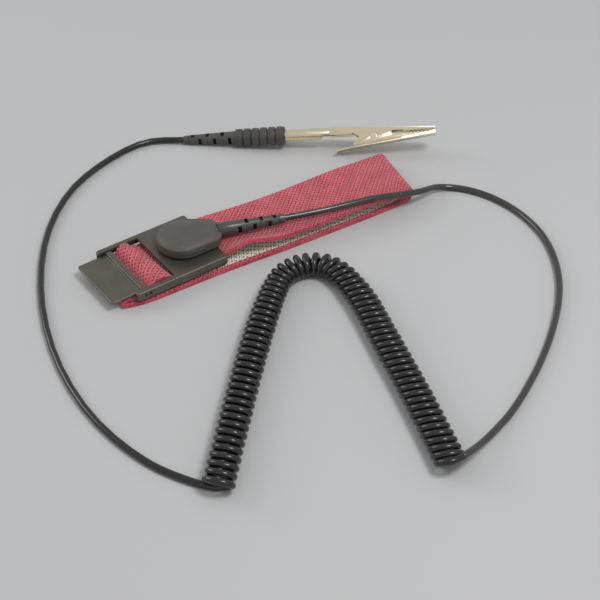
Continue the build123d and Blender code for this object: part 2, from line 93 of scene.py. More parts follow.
# --- shared effects ------------------------------------------------------------------------
def effect(name, inputs, outputs):
    """An empty node group with named sockets."""
    group = bpy.data.node_groups.new(name, "ShaderNodeTree")
    for label, kind, value in inputs:
        socket = group.interface.new_socket(label, in_out="INPUT", socket_type=kind)
        if value is not None:
            socket.default_value = value
    for label, kind in outputs:
        group.interface.new_socket(label, in_out="OUTPUT", socket_type=kind)
    return group, group.nodes.new("NodeGroupInput"), group.nodes.new("NodeGroupOutput")


def sum_node(tree, operation, first, second=None, third=None, clamp=False):
    """A Math node fed by sockets or plain numbers."""
    node = tree.nodes.new("ShaderNodeMath")
    node.operation = operation
    node.use_clamp = clamp
    for i, value in enumerate((first, second, third)):
        if value is None:
            continue
        if isinstance(value, (int, float)):
            node.inputs[i].default_value = value
        else:
            tree.links.new(value, node.inputs[i])
    return node.outputs[0]


def mix_colour(tree, factor, first, second):
    """A colour mix fed by sockets or plain colours."""
    node = tree.nodes.new("ShaderNodeMix")
    node.data_type = "RGBA"
    for i, value in ((0, factor), (6, first), (7, second)):
        if isinstance(value, (int, float)):
            node.inputs[i].default_value = value
        elif isinstance(value, tuple):
            node.inputs[i].default_value = (*value, 1)
        else:
            tree.links.new(value, node.inputs[i])
    return node.outputs[2]


def noise(tree, vector, scale, detail=3.0):
    """A mottle, 0 to 1, at a scale in cells to the unit."""
    node = tree.nodes.new("ShaderNodeTexNoise")
    node.inputs["Scale"].default_value = scale
    node.inputs["Detail"].default_value = detail
    tree.links.new(vector, node.inputs["Vector"])
    return node.outputs["Fac"]


def spread(tree, value, low, high, to_low=0.0, to_high=1.0):
    """A value's range stretched to another."""
    node = tree.nodes.new("ShaderNodeMapRange")
    node.inputs["From Min"].default_value = low
    node.inputs["From Max"].default_value = high
    node.inputs["To Min"].default_value = to_low
    node.inputs["To Max"].default_value = to_high
    tree.links.new(value, node.inputs["Value"])
    return node.outputs["Result"]


# fine grain: two colours mottled at a coarse and a fine scale, with a height for bump
grain_group, start, end = effect(
    "fine_grain",
    [("Vector", "NodeSocketVector", None), ("Colour", "NodeSocketColor", (0.5, 0.5, 0.5, 1)),
     ("Other colour", "NodeSocketColor", (0.4, 0.4, 0.4, 1)),
     ("Roughness", "NodeSocketFloat", 0.5), ("Roughness change", "NodeSocketFloat", 0.1)],
    [("Colour", "NodeSocketColor"), ("Roughness", "NodeSocketFloat"),
     ("Height", "NodeSocketFloat")])
coarse = noise(grain_group, start.outputs["Vector"], 260, 4)
fine = noise(grain_group, start.outputs["Vector"], 2600, 5)
both = sum_node(grain_group, "MULTIPLY_ADD", coarse, 0.6,
                sum_node(grain_group, "MULTIPLY", fine, 0.4))
mask = spread(grain_group, both, 0.36, 0.64)
grain_group.links.new(mix_colour(grain_group, mask, start.outputs["Colour"],
                                 start.outputs["Other colour"]), end.inputs["Colour"])
change = sum_node(grain_group, "MULTIPLY", sum_node(grain_group, "SUBTRACT", mask, 0.5),
                  start.outputs["Roughness change"])
gloss = sum_node(grain_group, "ADD", start.outputs["Roughness"], change, clamp=True)
grain_group.links.new(gloss, end.inputs["Roughness"])
grain_group.links.new(both, end.inputs["Height"])

# faint rubbing: long thin scratches and dull patches, as a mask
rub_group, start, end = effect(
    "rubbed", [("Vector", "NodeSocketVector", None), ("Amount", "NodeSocketFloat", 0.5)],
    [("Mask", "NodeSocketFloat")])
stretch = rub_group.nodes.new("ShaderNodeMapping")
stretch.inputs["Rotation"].default_value = (0, 0, 0.5)
stretch.inputs["Scale"].default_value = (0.12, 1.6, 1.0)
rub_group.links.new(start.outputs["Vector"], stretch.inputs["Vector"])
lines = spread(rub_group, noise(rub_group, stretch.outputs["Vector"], 1500, 4), 0.60, 0.72)
patches = spread(rub_group, noise(rub_group, start.outputs["Vector"], 190, 3), 0.42, 0.62)
rubbed = sum_node(rub_group, "MULTIPLY", lines, patches)
rub_group.links.new(sum_node(rub_group, "MULTIPLY", rubbed, start.outputs["Amount"]),
                    end.inputs["Mask"])


def blank_material(name):
    """A material with its shader, its tree and the piece's own coordinates."""
    material = bpy.data.materials.new(name)
    material.use_nodes = True
    tree = material.node_tree
    shader = tree.nodes["Principled BSDF"]
    return material, tree, shader, tree.nodes.new("ShaderNodeTexCoord")


def grained(name, colour, other, roughness, change, metallic=0.0, bump=0.15, rub=0.0,
            rub_colour=(0.6, 0.6, 0.58), coat=0.0, specular=0.5, sheen=0.0):
    """A moulded or metal finish: mottled colour, uneven gloss, fine bump and light rubbing."""
    material, tree, shader, where = blank_material(name)
    shader.inputs["Metallic"].default_value = metallic
    shader.inputs["Coat Weight"].default_value = coat
    shader.inputs["Coat Roughness"].default_value = 0.12
    shader.inputs["Specular IOR Level"].default_value = specular
    shader.inputs["Sheen Weight"].default_value = sheen
    grain = tree.nodes.new("ShaderNodeGroup")
    grain.node_tree = grain_group
    grain.inputs["Colour"].default_value = (*colour, 1)
    grain.inputs["Other colour"].default_value = (*other, 1)
    grain.inputs["Roughness"].default_value = roughness
    grain.inputs["Roughness change"].default_value = change
    tree.links.new(where.outputs["Object"], grain.inputs["Vector"])
    rubbing = tree.nodes.new("ShaderNodeGroup")
    rubbing.node_tree = rub_group
    rubbing.inputs["Amount"].default_value = rub
    tree.links.new(where.outputs["Object"], rubbing.inputs["Vector"])
    tree.links.new(mix_colour(tree, rubbing.outputs["Mask"], grain.outputs["Colour"], rub_colour),
                   shader.inputs["Base Color"])
    tree.links.new(grain.outputs["Roughness"], shader.inputs["Roughness"])
    relief = tree.nodes.new("ShaderNodeBump")
    relief.inputs["Strength"].default_value = bump
    relief.inputs["Distance"].default_value = 0.00006
    tree.links.new(grain.outputs["Height"], relief.inputs["Height"])
    tree.links.new(relief.outputs["Normal"], shader.inputs["Normal"])
    return material


steel = grained("buckle_steel", (0.165, 0.153, 0.128), (0.130, 0.120, 0.098), 0.40, 0.16,
                metallic=0.75, bump=0.25, rub=0.35, rub_colour=(0.30, 0.30, 0.28))
bright_steel = grained("stud_steel", (0.50, 0.49, 0.46), (0.38, 0.37, 0.35), 0.30, 0.15,
                       metallic=1.0, rub=0.3)
spring_steel = grained("spring_steel", (0.42, 0.42, 0.41), (0.30, 0.30, 0.29), 0.32, 0.12,
                       metallic=1.0)
head_plastic = grained("head_plastic", (0.092, 0.086, 0.074), (0.072, 0.071, 0.062), 0.44, 0.10,
                       bump=0.5, rub=0.2, rub_colour=(0.16, 0.16, 0.15))
relief_plastic = grained("relief_plastic", (0.075, 0.073, 0.064), (0.058, 0.057, 0.050), 0.36,
                         0.10, bump=0.4, coat=0.15)
grip_plastic = grained("grip_plastic", (0.070, 0.068, 0.060), (0.050, 0.049, 0.043), 0.38, 0.12,
                       bump=0.6, coat=0.1)
cord_jacket = grained("cord_jacket", (0.040, 0.038, 0.033), (0.028, 0.027, 0.024), 0.24, 0.10,
                      bump=0.25, coat=0.35)
coil_jacket = grained("coil_jacket", (0.014, 0.0135, 0.012), (0.009, 0.0088, 0.008), 0.27, 0.08,
                      bump=0.2, coat=0.25)
resistor_coat = grained("resistor_coat", (0.55, 0.36, 0.18), (0.48, 0.30, 0.15), 0.35, 0.1)
clip_metal = grained("clip_metal", (0.90, 0.80, 0.58), (0.80, 0.70, 0.49), 0.30, 0.16,
                     metallic=1.0, bump=0.2, rub=0.4, rub_colour=(0.60, 0.54, 0.42))
# Brighter steel for the rounded edges of the buckle and lever: worn metal, and a painted
# highlight along the edges.
steel_rim_wear_and_highlight = grained("buckle_steel_rim_wear_and_highlight", (0.52, 0.51, 0.47), (0.34, 0.33, 0.30), 0.26, 0.14,
                     metallic=0.9)
# Near-white clip metal for the rounded edges of the clip and for its rivet: a painted highlight.
clip_rim_highlight = grained("clip_rim_highlight", (1.0, 0.96, 0.84), (0.92, 0.86, 0.70), 0.16, 0.10, metallic=1.0)
# Near-black for the cut faces of the reliefs' slots: painted shade in the narrow deep windows.
slot_painted_shade = grained("relief_slot_painted_shade", (0.006, 0.006, 0.006), (0.003, 0.003, 0.003), 0.7, 0.1)
selvedge = grained("band_selvedge", (0.66, 0.095, 0.130), (0.34, 0.030, 0.055), 0.85, 0.1,
                   bump=1.0, specular=0.2, sheen=0.3)


# --- band weave ----------------------------------------------------------------------------
HALF_WIDTH = 10.3          # of the band, in millimetres, as are its weave's sizes
CREAM_HALF = 8.7           # half width of the inner face's cream stripe
THREAD = 1.15              # spacing of the outer face's threads
ROW = 1.2                  # spacing of the inner face's slanted rows
TWILL_ANGLE = math.radians(45)
ROW_ANGLE = math.radians(-62)


def lattice(tree, vector, angle, size_u, size_v, randomness):
    """Distance to the nearest point of a slanted grid, in cells."""
    turn = tree.nodes.new("ShaderNodeMapping")
    turn.inputs["Rotation"].default_value = (0, 0, angle)
    tree.links.new(vector, turn.inputs["Vector"])
    cell = tree.nodes.new("ShaderNodeMapping")
    cell.inputs["Scale"].default_value = (1 / size_u, 1 / size_v, 1)
    tree.links.new(turn.outputs["Vector"], cell.inputs["Vector"])
    dots = tree.nodes.new("ShaderNodeTexVoronoi")
    dots.voronoi_dimensions = "2D"
    dots.inputs["Scale"].default_value = 1.0
    dots.inputs["Randomness"].default_value = randomness
    tree.links.new(cell.outputs["Vector"], dots.inputs["Vector"])
    return dots.outputs["Distance"]


def ribs(tree, vector, angle, pitch, distortion):
    """Soft ridges across a direction, 0 to 1."""
    turn = tree.nodes.new("ShaderNodeMapping")
    turn.inputs["Rotation"].default_value = (0, 0, angle)
    turn.inputs["Scale"].default_value = (1 / pitch, 1 / pitch, 1)
    tree.links.new(vector, turn.inputs["Vector"])
    wave = tree.nodes.new("ShaderNodeTexWave")
    wave.inputs["Scale"].default_value = 0.5
    wave.inputs["Distortion"].default_value = distortion
    wave.inputs["Detail Scale"].default_value = 1.5
    tree.links.new(turn.outputs["Vector"], wave.inputs["Vector"])
    return wave.outputs["Fac"]


def weave_material(name, inner):
    """The band's cloth on its own UV map, in millimetres: twill outside, ribbed rows inside."""
    material, tree, shader, where = blank_material(name)
    uv = where.outputs["UV"]
    shader.inputs["Sheen Weight"].default_value = 0.35
    shader.inputs["Sheen Roughness"].default_value = 0.5
    shader.inputs["Specular IOR Level"].default_value = 0.25
    shader.inputs["Roughness"].default_value = 0.85
    patches = noise(tree, uv, 0.22, 3)
    fibre = noise(tree, uv, 9.0, 4)
    pink = mix_colour(tree, spread(tree, patches, 0.38, 0.62), (0.76, 0.125, 0.155),
                      (0.62, 0.080, 0.110))
    pink = mix_colour(tree, spread(tree, fibre, 0.45, 0.75, 0.0, 0.45), pink, (0.90, 0.30, 0.30))
    twill = ribs(tree, uv, TWILL_ANGLE, THREAD, 0.4)
    pink = mix_colour(tree, spread(tree, twill, 0.0, 0.45, 0.55, 0.0), pink, (0.30, 0.020, 0.040))
    specks = lattice(tree, uv, TWILL_ANGLE, THREAD, THREAD, 0.2)
    pink = mix_colour(tree, spread(tree, specks, 0.16, 0.34, 0.92, 0.0), pink,
                      (0.070, 0.006, 0.014))
    height = sum_node(tree, "MULTIPLY_ADD", fibre, 0.35, twill)
    colour = pink
    if inner:
        slant = ribs(tree, uv, ROW_ANGLE, ROW, 0.6)
        # The cream is near white, lighter than the cloth's own tone: painted light that offsets
        # the shade under the band's upper layer.
        cream = mix_colour(tree, spread(tree, fibre, 0.35, 0.7), (1.0, 0.97, 0.86),
                           (0.97, 0.91, 0.77))
        cream = mix_colour(tree, spread(tree, slant, 0.0, 0.35, 0.6, 0.0), cream,
                           (0.42, 0.32, 0.22))
        dashes = lattice(tree, uv, ROW_ANGLE, ROW, 1.7, 0.25)
        cream = mix_colour(tree, spread(tree, dashes, 0.16, 0.26, 0.9, 0.0), cream,
                           (0.05, 0.035, 0.03))
        across = tree.nodes.new("ShaderNodeSeparateXYZ")
        tree.links.new(uv, across.inputs["Vector"])
        from_middle = sum_node(tree, "SUBTRACT", across.outputs["X"], HALF_WIDTH)
        margin = spread(tree, sum_node(tree, "ABSOLUTE", from_middle), CREAM_HALF,
                        CREAM_HALF + 0.2)
        colour = mix_colour(tree, margin, cream, pink)
        height = sum_node(tree, "MULTIPLY_ADD", fibre, 0.35, slant)
    tree.links.new(colour, shader.inputs["Base Color"])
    relief = tree.nodes.new("ShaderNodeBump")
    relief.inputs["Strength"].default_value = 0.9
    relief.inputs["Distance"].default_value = 0.00022
    tree.links.new(height, relief.inputs["Height"])
    tree.links.new(relief.outputs["Normal"], shader.inputs["Normal"])
    return material


band_outside = weave_material("band_twill", False)
band_inside = weave_material("band_ribs", True)


# --- making pieces -------------------------------------------------------------------------
def smooth_line(points, resolution=12):
    """The points of the smooth curve that the route's points steer, first to last."""
    curve = bpy.data.curves.new("route", "CURVE")
    curve.dimensions = "3D"
    curve.resolution_u = resolution
    spline = curve.splines.new("NURBS")
    spline.points.add(len(points) - 1)
    for point, place in zip(spline.points, points):
        point.co = (*place, 1)
    spline.order_u = 3
    spline.use_endpoint_u = True
    thing = bpy.data.objects.new("route", curve)
    scene.collection.objects.link(thing)
    bpy.context.view_layer.update()
    mesh = bpy.data.meshes.new_from_object(thing)
    line = [v.co.copy() for v in mesh.vertices]
    bpy.data.objects.remove(thing)
    bpy.data.meshes.remove(mesh)
    bpy.data.curves.remove(curve)
    return line


def put(name, mesh, material, body, slot, *nodes):
    """A finished mesh as a piece of the object."""
    piece = bpy.data.objects.new(name, mesh)
    scene.collection.objects.link(piece)
    finishes_here = material if isinstance(material, list) else [material]
    for finish in finishes_here:
        piece.data.materials.append(finish)
    if body:
        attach(piece, body)
    if nodes:
        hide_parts(*nodes)
    return piece


def tube(name, line, radius, sides=20):
    """A round tube along a line, with closed ends."""
    mesh = bpy.data.meshes.new(name)
    build = bmesh.new()
    rings = []
    for i, place in enumerate(line):
        along = (line[min(i + 1, len(line) - 1)] - line[max(i - 1, 0)]).normalized()
        side = along.cross(Vector((0, 0, 1))).normalized()
        up = side.cross(along)
        rings.append([build.verts.new(place + radius * (
            math.cos(2 * math.pi * k / sides) * side + math.sin(2 * math.pi * k / sides) * up))
            for k in range(sides)])
    for first, second in zip(rings, rings[1:]):
        for k in range(sides):
            build.faces.new((first[k], first[(k + 1) % sides], second[(k + 1) % sides],
                             second[k]))
    build.faces.new(rings[0][::-1])
    build.faces.new(rings[-1])
    bmesh.ops.recalc_face_normals(build, faces=build.faces)
    build.to_mesh(mesh)
    build.free()
    for face in mesh.polygons:
        face.use_smooth = len(face.vertices) == 4
    return mesh


# --- cords ---------------------------------------------------------------------------------
CORD_R = 0.001
FLOOR_Z = 0.00105
COIL_Z = 0.0034
TURN_WIDE = 0.0034         # from the coil's axis to the cord's middle, at the sides
TURN_HIGH = 0.00235        # and at the top
TURN_POINTS = 14           # steering points in each turn of the coil
STEER = 1 / math.cos(math.pi / TURN_POINTS) ** 2   # how far outside the cord they lie
LEAN = 0.86                # how far the turns lean back
# the spacing of the turns, at shares of the coil's length
SPACING = [(0.0, 0.00262), (0.40, 0.00262), (0.47, 0.00236), (0.56, 0.00236), (0.64, 0.00280),
           (1.0, 0.00296)]
PEAK_SHARES = (0.36, 0.46, 0.56, 0.66)   # where the turns narrow, stay narrow and widen
PEAK_NARROWER = 0.15
HEAD_CORD_Z = 0.0078       # height of the cord where it leaves the head
stud = Vector((0.0015, 0.0, 0.0))
head_heading = math.radians(-18.5)
head_along = Vector((math.cos(head_heading), math.sin(head_heading), 0))
head_tip = stud + head_along * 0.0310 + Vector((0, 0, HEAD_CORD_Z))

SNAP_LEAD = [tuple(head_tip), (0.0418, -0.01345, 0.0078), (0.0522, -0.0159, 0.0077),
             (0.0615, -0.0177, 0.00745), (0.0685, -0.019365, 0.00634)]
HEAD_LEAD = [(0.0685, -0.019365, 0.00634), (0.0755, -0.02103, 0.00523),
             (0.0868, -0.0174, FLOOR_Z), (0.0956, -0.0274, FLOOR_Z),
             (0.0990, -0.0430, FLOOR_Z), (0.0962, -0.0596, FLOOR_Z),
             (0.0846, -0.0779, FLOOR_Z), (0.0636, -0.0949, FLOOR_Z),
             (0.0407, -0.1075, FLOOR_Z), (0.0275, -0.1122, 0.0019),
             (0.0185, -0.1152, 0.0039), (0.0132, -0.1163, 0.0052)]
COIL = [(0.0109, -0.1148, COIL_Z), (0.0191, -0.0909, COIL_Z), (0.0261, -0.0673, COIL_Z),
        (0.0323, -0.0480, COIL_Z), (0.0336, -0.0306, COIL_Z), (0.0212, -0.0256, COIL_Z),
        (0.0083, -0.0354, COIL_Z), (-0.0142, -0.0571, COIL_Z), (-0.0426, -0.0870, COIL_Z)]
PLUG_LEAD = [(-0.0429, -0.0848, FLOOR_Z), (-0.0479, -0.0772, FLOOR_Z),
             (-0.0528, -0.0665, FLOOR_Z), (-0.0562, -0.0455, FLOOR_Z),
             (-0.0532, -0.0195, FLOOR_Z), (-0.0440, 0.0070, FLOOR_Z),
             (-0.0295, 0.0315, FLOOR_Z), (-0.0120, 0.0485, FLOOR_Z),
             (0.0050, 0.0560, FLOOR_Z), (0.0230, 0.0592, FLOOR_Z),
             (0.03345, 0.05113, 0.00144), (0.0358, 0.04926, 0.0017)]


def run_length(line):
    """The length along a line's points."""
    return sum((b - a).length for a, b in zip(line, line[1:]))


snap_line = smooth_line(SNAP_LEAD, 16)
snap_lead = put("snap_lead_cord", tube("snap_lead_cord", snap_line, CORD_R), cord_jacket, None,
                "cord_jacket", "snap_lead")
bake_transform(snap_lead)
head_line = smooth_line(HEAD_LEAD, 16)
head_lead = put("head_lead_cord", tube("head_lead_cord", head_line, CORD_R), cord_jacket, None,
                "cord_jacket", "head_lead")
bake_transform(head_lead)


def coil_points():
    """Steering points of the left-handed coil, whose turns lean back from the view's heading."""
    axis = smooth_line(COIL, 40)
    measured = [0.0]
    for a, b in zip(axis, axis[1:]):
        measured.append(measured[-1] + (b - a).length)
    total = measured[-1]
    shares, pitches = zip(*SPACING)
    places, turns, travelled = [], 0.0, 0.0
    while travelled < total:
        places.append((travelled, turns))
        travelled += np.interp(travelled / total, shares, pitches) / TURN_POINTS
        turns += 1 / TURN_POINTS
    over = places[-1][1]
    wanted = round(over) + 0.5   # starts over the top and ends underneath
    found = []
    for travelled, turn in places:
        share = travelled / places[-1][0]
        angle = math.radians(90) - 2 * math.pi * turn * wanted / over
        along_place = share * total
        i = min(max(int(np.searchsorted(measured, along_place)), 1), len(axis) - 1)
        t = (along_place - measured[i - 1]) / (measured[i] - measured[i - 1])
        centre = axis[i - 1].lerp(axis[i], t)
        along = (axis[min(i + 3, len(axis) - 1)] - axis[max(i - 4, 0)]).normalized()
        side = Vector((-along.y, along.x, 0))
        up = Vector((0, 0, 1)) - LEAN * heading.dot(along) * along
        narrow = 1 - PEAK_NARROWER * float(np.interp(share, PEAK_SHARES, (0, 1, 1, 0)))
        loose = 1 + 0.012 * math.sin(turn * 2.1) + 0.008 * math.sin(turn * 0.73 + 1)
        wide = TURN_WIDE * STEER * narrow * loose
        found.append(centre + wide * math.cos(angle) * side
                     + TURN_HIGH * STEER * math.sin(angle) * up)
    return found


long_route = [HEAD_LEAD[-1]] + [tuple(p) for p in coil_points()] + PLUG_LEAD
coil_curve = bpy.data.curves.new("coil_and_plug_cord", "CURVE")
coil_curve.dimensions = "3D"
coil_curve.resolution_u = 3
coil_curve.bevel_depth = CORD_R
coil_curve.bevel_resolution = 4
coil_curve.use_fill_caps = True
spline = coil_curve.splines.new("NURBS")
spline.points.add(len(long_route) - 1)
for point, place in zip(spline.points, long_route):
    point.co = (*place, 1)
spline.order_u = 3
spline.use_endpoint_u = True
coil_piece = put("coil_and_plug_cord", coil_curve, coil_jacket, "strap", "coil_jacket",
                 "coil_cord", "plug_lead")
coil_length = run_length(smooth_line(long_route, 6))

# --- finishes of the carried-over parts ----------------------------------------------------
finishes = {
    # The lever pin takes the dark buckle steel so that the flange slot it sits in reads black:
    # painted shade.
    "cross_bar": bright_steel, "lever_pin": steel, "contact_plate": bright_steel,
    "stud_spacer": bright_steel, "stud_rivet": bright_steel, "snap_stud": bright_steel,
    "snap_socket": bright_steel,
    "snap_spring": spring_steel, "clip_spring": spring_steel, "pin_spring": spring_steel,
    # The clip's rivet takes the near-white edge finish, a painted highlight over the whole disc.
    "contact_finger": spring_steel, "plug_pin": clip_metal, "clip_rivet": clip_rim_highlight,
    "resistor": resistor_coat,
}
for name, finish in finishes.items():
    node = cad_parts[name]
    if not node.material_slots:
        node.data.materials.append(finish)
    for holder in node.material_slots:
        holder.link = "OBJECT"
        holder.material = finish


# --- refined copies of the metal parts -----------------------------------------------------
def work_on(piece):
    """Makes one piece the only selected one."""
    bpy.ops.object.select_all(action="DESELECT")
    piece.select_set(True)
    bpy.context.view_layer.objects.active = piece


def refined(name, node, body, slot, face_finish, edge_finish, width):
    """A copy of a CAD part with its edges rounded and given their own finish, which on the metal
    parts is a brighter colour that paints a highlight along them, width in millimetres.
    """
    piece = put(name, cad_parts[node].data.copy(), [], body, slot, node)
    piece.data.materials.clear()
    piece.data.materials.append(face_finish)
    piece.data.materials.append(edge_finish)
    work_on(piece)
    bpy.ops.object.mode_set(mode="EDIT")
    bpy.ops.mesh.select_all(action="SELECT")
    bpy.ops.mesh.customdata_custom_splitnormals_clear()
    bpy.ops.mesh.remove_doubles(threshold=0.000002)
    bpy.ops.mesh.dissolve_limited(angle_limit=math.radians(1.5))
    bpy.ops.object.mode_set(mode="OBJECT")
    rounding = piece.modifiers.new("rounded edges", "BEVEL")
    rounding.width = width * MM
    rounding.segments = 2
    rounding.limit_method = "ANGLE"
    rounding.angle_limit = math.radians(32)
    rounding.material = 1
    rounding.use_clamp_overlap = True
    bpy.ops.object.modifier_apply(modifier=rounding.name)
    bpy.ops.object.shade_smooth_by_angle(angle=math.radians(30))
    return piece


# The buckle and clip pieces take a bright edge finish, a painted highlight along their rounded
# edges; the head's shell keeps one plastic.
refined("buckle_plate", "buckle_frame", "strap", "buckle_steel", steel, steel_rim_wear_and_highlight, 0.12)
refined("lever_flap", "clasp_lever", "lever", "buckle_steel", steel, steel_rim_wear_and_highlight, 0.09)
refined("head_lower_shell", "head_base", "head", "head_plastic", head_plastic, head_plastic, 0.2)
refined("clip_cheeks", "clip_frame", "clip", "clip_metal", clip_metal, clip_rim_highlight, 0.07)
refined("clip_lower_jaw", "clip_jaw", "jaw", "clip_metal", clip_metal, clip_rim_highlight, 0.07)


# --- turned and moulded pieces -------------------------------------------------------------
def drawn_out(name, outline, steps, place, body, slot, finish, *nodes):
    """A flat outline drawn up through (height, scale) steps in edit mode, then set in place."""
    bpy.ops.object.select_all(action="DESELECT")
    bpy.ops.mesh.primitive_circle_add(vertices=len(outline), radius=1 * MM, fill_type="NGON",
                                      location=(0, 0, 0))
    made = bpy.context.object
    height, scale = steps[0]
    for vertex, (x, y) in zip(made.data.vertices, outline):
        vertex.co = (x * scale * MM, y * scale * MM, height * MM)
    bpy.ops.object.mode_set(mode="EDIT")
    bpy.ops.mesh.select_all(action="SELECT")
    for (low, before), (high, after) in zip(steps, steps[1:]):
        bpy.ops.mesh.extrude_region_move(
            TRANSFORM_OT_translate={"value": (0, 0, (high - low) * MM)})
        bpy.ops.transform.resize(value=(after / before, after / before, 1),
                                 center_override=(0, 0, high * MM))
    bpy.ops.mesh.select_all(action="SELECT")
    bpy.ops.mesh.remove_doubles(threshold=0.0000005)
    bpy.ops.mesh.normals_make_consistent(inside=False)
    bpy.ops.object.mode_set(mode="OBJECT")
    bpy.ops.object.shade_smooth_by_angle(angle=math.radians(35))
    mesh = made.data
    bpy.data.objects.remove(made)
    mesh.transform(place)
    return put(name, mesh, finish, body, slot, *nodes)


ROUND_R = 8.0              # the head's round end, about the stud
NOSE_R = 3.4               # the two small rounds of its nose
NOSE_OUT = 8.1             # how far along the head their centres lie
NOSE_SIDE = 2.2            # and how far to each side


def inside_head(spot):
    """Whether a point is within the hull of the head's round end and its nose's rounds."""
    x, y = spot.x, abs(spot.y)
    if x >= NOSE_OUT and y <= NOSE_SIDE:
        return x <= NOSE_OUT + NOSE_R
    if math.hypot(x, y) <= ROUND_R or math.hypot(x - NOSE_OUT, y - NOSE_SIDE) <= NOSE_R:
        return True
    reach = math.hypot(NOSE_OUT, NOSE_SIDE)
    tilt = math.atan2(NOSE_SIDE, NOSE_OUT) + math.acos((ROUND_R - NOSE_R) / reach)
    edge = Vector((math.cos(tilt), math.sin(tilt)))
    side_length = NOSE_OUT * edge.y - NOSE_SIDE * edge.x
    return (0 <= x * edge.y - y * edge.x <= side_length
            and x * edge.x + y * edge.y <= ROUND_R)


def round_outline(sides):
    """A circle of one millimetre radius."""
    return [(math.cos(2 * math.pi * k / sides), math.sin(2 * math.pi * k / sides))
            for k in range(sides)]


def head_outline(points=120):
    """The head's plan from above: a round end drawn in to a blunt nose."""
    found = []
    for k in range(points):
        angle = 2 * math.pi * k / points
        toward = Vector((math.cos(angle), math.sin(angle)))
        low, high = 0.0, 2 * ROUND_R
        for _ in range(40):        # halves the gap about the outline each time
            reach = (low + high) / 2
            if inside_head(toward * reach):
                low = reach
            else:
                high = reach
        found.append((toward.x * low, toward.y * low))
    return found


def along_axis(origin, direction):
    """The placing matrix of a turned piece whose height runs along a direction."""
    side = Vector((0, 0, 1)).cross(direction).normalized()
    up = direction.cross(side)
    return Matrix.Translation(origin) @ Matrix((side, up, direction)).transposed().to_4x4()


head_place = Matrix.Translation(stud) @ Matrix.Rotation(head_heading, 4, "Z")
drawn_out("head_cover_shell", head_outline(),
          [(8.9, 0.66), (8.3, 0.84), (7.05, 0.875), (7.05, 0.985), (7.15, 1.0), (7.60, 1.0),
           (7.66, 0.985), (7.74, 0.985), (7.80, 1.0), (8.36, 1.0), (8.50, 0.992), (8.58, 0.97),
           (8.60, 0.94), (8.56, 0.925), (8.64, 0.905), (8.90, 0.85), (9.20, 0.77),
           (9.50, 0.66), (9.77, 0.53), (9.98, 0.39), (10.12, 0.24), (10.19, 0.10),
           (10.20, 0.02)],
          head_place, "head", "head_plastic", head_plastic, "head_cover")


SLOT_DEEP = 2.4            # reach of a relief's slots, past its outside
SLOT_LONG = 1.1            # along the cord
SLOT_SHARE = 1.15          # width, as a share of the relief's radius there
SLEEVE_CORE = 1.05         # what is left round the cord


def slotted(piece, place, slots):
    """Cuts windows in a relief, their cut faces painted near-black as shade: (height, radius
    there, turned a quarter or not).
    """
    bpy.ops.object.select_all(action="DESELECT")
    middle = SLEEVE_CORE + SLOT_DEEP / 2
    blocks = []
    for height, radius, quarter in slots:
        wide = SLOT_SHARE * radius
        for out in (-middle, middle):
            spot = (out, 0, height) if quarter else (0, out, height)
            size = (SLOT_DEEP, wide, SLOT_LONG) if quarter else (wide, SLOT_DEEP, SLOT_LONG)
            bpy.ops.mesh.primitive_cube_add(size=1, location=[v * MM for v in spot],
                                            scale=[v * MM for v in size])
            bpy.ops.object.transform_apply()
            blocks.append(bpy.context.object)
    for block in blocks:
        block.select_set(True)
    bpy.ops.object.join()
    cutter = bpy.context.object
    cutter.data.transform(place)
    # The cutter's near-black goes onto the cut faces: painted shade inside the windows.
    cutter.data.materials.append(slot_painted_shade)
    piece.data.materials.append(slot_painted_shade)
    cut = piece.modifiers.new("slots", "BOOLEAN")
    cut.operation = "DIFFERENCE"
    cut.solver = "EXACT"
    cut.material_mode = "TRANSFER"
    cut.object = cutter
    work_on(piece)
    bpy.ops.object.modifier_apply(modifier=cut.name)
    bpy.data.objects.remove(cutter)


relief_place = along_axis(stud + Vector((0, 0, HEAD_CORD_Z)), head_along)
head_relief = drawn_out(
    "head_strain_relief", round_outline(40),
    [(9.2, 1.15), (11.0, 1.15), (11.0, 2.1), (11.15, 2.2), (15.6, 2.2), (16.0, 2.12),
     (29.6, 1.52), (29.9, 1.30), (30.1, 1.30), (30.25, 1.55), (31.7, 1.50), (32.0, 1.20)],
    relief_place, "head", "relief_plastic", relief_plastic, "head_relief")
slotted(head_relief, relief_place,
        [(17.4, 2.05, True), (19.75, 1.95, False), (22.1, 1.85, True), (24.4, 1.75, False),
         (26.8, 1.65, True), (28.6, 1.55, False)])

plug_along = Vector((0.77854, -0.62150, 0.08716))
plug_mouth = Vector((0.060, 0.030, 0.0044))
plug_place = along_axis(plug_mouth, plug_along)
grip_steps = [(-16.6, 2.0), (-16.6, 2.45), (-16.45, 2.62)]
LANDS = 6                  # raised rings of the grip
LANDS_FROM = -16.45
LAND_LENGTH = 16.3 / LANDS
GROOVE_DEEP = 0.55
for k in range(LANDS):
    low = LANDS_FROM + k * LAND_LENGTH
    high = low + LAND_LENGTH
    swell = 2.83 + 0.37 * (k + 1) / LANDS
    grip_steps += [(low + 0.22, swell - 0.05), (low + 0.7, swell), (high - 0.9, swell),
                   (high - 0.42, swell - 0.08), (high - 0.32, swell - GROOVE_DEEP)]
    if k < LANDS - 1:
        grip_steps.append((high - 0.02, swell - GROOVE_DEEP))
grip_steps = grip_steps[:-1] + [(-0.3, 3.12), (0.0, 2.8), (0.0, 2.12), (-1.2, 2.05)]
grip = drawn_out("grip_sleeve", round_outline(64), grip_steps, plug_place, "strap",
                 "grip_plastic", grip_plastic, "plug_grip")
